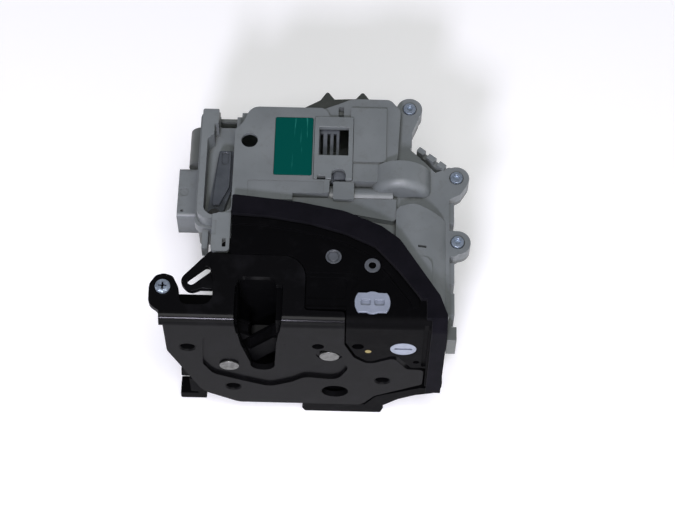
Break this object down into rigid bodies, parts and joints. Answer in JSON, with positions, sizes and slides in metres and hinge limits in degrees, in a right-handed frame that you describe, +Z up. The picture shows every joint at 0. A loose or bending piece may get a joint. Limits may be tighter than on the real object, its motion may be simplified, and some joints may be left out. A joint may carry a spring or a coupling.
{
  "type": "car door lock",
  "caption": "Car door lock: steel latch plate with a flared mouth, rotating catch and pawl, side cover with foam seal, and a grey housing with the locking drive.",
  "frame": {"origin": "on the outer side of the shut face, below the middle of the mouth, at the plate's lower edge", "axes": "+X to the right along the shut face as seen from outside the door, +Y into the door at right angles to the shut face, +Z up to the wing where the striker comes in"},
  "size_m": [0.1492, 0.14, 0.1028],
  "materials": {
    "black_steel": "gloss black dipped coat",
    "black_plastic": "matte black moulding",
    "black_rubber": "black rubber",
    "seal_foam": "soft black foam",
    "zinc_steel": "zinc plated",
    "grey_plastic": "satin light grey moulding",
    "dark_grey_plastic": "satin dark grey moulding",
    "white_plastic": "smooth white moulding",
    "green_label": "plain green film",
    "circuit_board": "circuit carrier"
  },
  "bodies": {
    "case": {"latch_plate": "black_steel", "back_plate": "black_steel", "latch_frame": "black_plastic", "catch_rivet": "zinc_steel", "pawl_rivet": "zinc_steel", "striker_buffer": "black_rubber", "catch_spring": "zinc_steel", "pawl_spring": "zinc_steel", "lever_rivet": "zinc_steel", "lever_spring": "zinc_steel", "plate_screw": "zinc_steel", "side_cover": "black_plastic", "foam_seal": "seal_foam", "locating_pins": "grey_plastic", "housing_base": "grey_plastic", "rear_cap": "dark_grey_plastic", "housing_cover": "grey_plastic", "cover_screws": "zinc_steel", "green_label": "green_label", "window_frame": "grey_plastic", "connector_shroud": "grey_plastic", "connector_pins": "zinc_steel", "circuit_carrier": "circuit_board", "lock_motor": "zinc_steel", "deadlock_motor": "zinc_steel", "wheel_axle": "zinc_steel", "catch_switch": "black_plastic", "lock_switch": "black_plastic"},
    "catch": {"catch": "black_steel", "catch_skin_moulding": "black_plastic"},
    "pawl": {"pawl": "zinc_steel"},
    "release_lever": {"release_lever": "black_steel"},
    "inside_slider": {"inside_release_slider": "grey_plastic", "slider_nipple": "zinc_steel"},
    "emergency_disc": {"emergency_disc": "white_plastic"},
    "twist_plug": {"twist_plug": "white_plastic"},
    "worm": {"worm": "white_plastic"},
    "worm_wheel": {"worm_wheel": "white_plastic"},
    "lock_slider": {"lock_slider": "white_plastic"}
  },
  "joints": [
    {"name": "catch_turn", "type": "hinge", "parent": "case", "child": "catch", "pos_m": [-0.016, 0.01, 0.041], "axis": [0, 1, 0], "range_deg": [0, 52]},
    {"name": "pawl_turn", "type": "hinge", "parent": "case", "child": "pawl", "pos_m": [0.032, 0.009, 0.054], "axis": [0, 1, 0], "range_deg": [-5, 7.4]},
    {"name": "release_lever_turn", "type": "hinge", "parent": "case", "child": "release_lever", "pos_m": [0.0285, 0.044, 0.085], "axis": [0, 0, 1], "range_deg": [-4.7, 7]},
    {"name": "inside_release_slide", "type": "slide", "parent": "case", "child": "inside_slider", "axis": [0, 1, 0], "range_m": [0, 0.012]},
    {"name": "emergency_disc_turn", "type": "hinge", "parent": "case", "child": "emergency_disc", "pos_m": [0.0666, 0.002, 0.0647], "axis": [0, 1, 0], "range_deg": [0, 40]},
    {"name": "twist_plug_turn", "type": "hinge", "parent": "case", "child": "twist_plug", "pos_m": [0.0515, 0.011, 0.09], "axis": [0, 0, 1], "range_deg": [0, 90]},
    {"name": "worm_wheel_turn", "type": "hinge", "parent": "case", "child": "worm_wheel", "pos_m": [0.064, 0.077, 0.078], "axis": [0, 1, 0], "range_deg": [0, 91]},
    {"name": "worm_turn", "type": "hinge", "parent": "case", "child": "worm", "pos_m": [0.064, 0.077, 0.062], "axis": [1, 0, 0], "range_deg": [0, 2730]},
    {"name": "lock_slide", "type": "slide", "parent": "case", "child": "lock_slider", "axis": [1, 0, 0], "range_m": [0, 0.008]}
  ],
  "couplings": [
    {"joint": "release_lever_turn", "follows": "pawl_turn", "ratio": 0.93},
    {"joint": "worm_turn", "follows": "worm_wheel_turn", "ratio": 30},
    {"joint": "lock_slide", "follows": "worm_wheel_turn", "m_per_rad": 0.005}
  ]
}
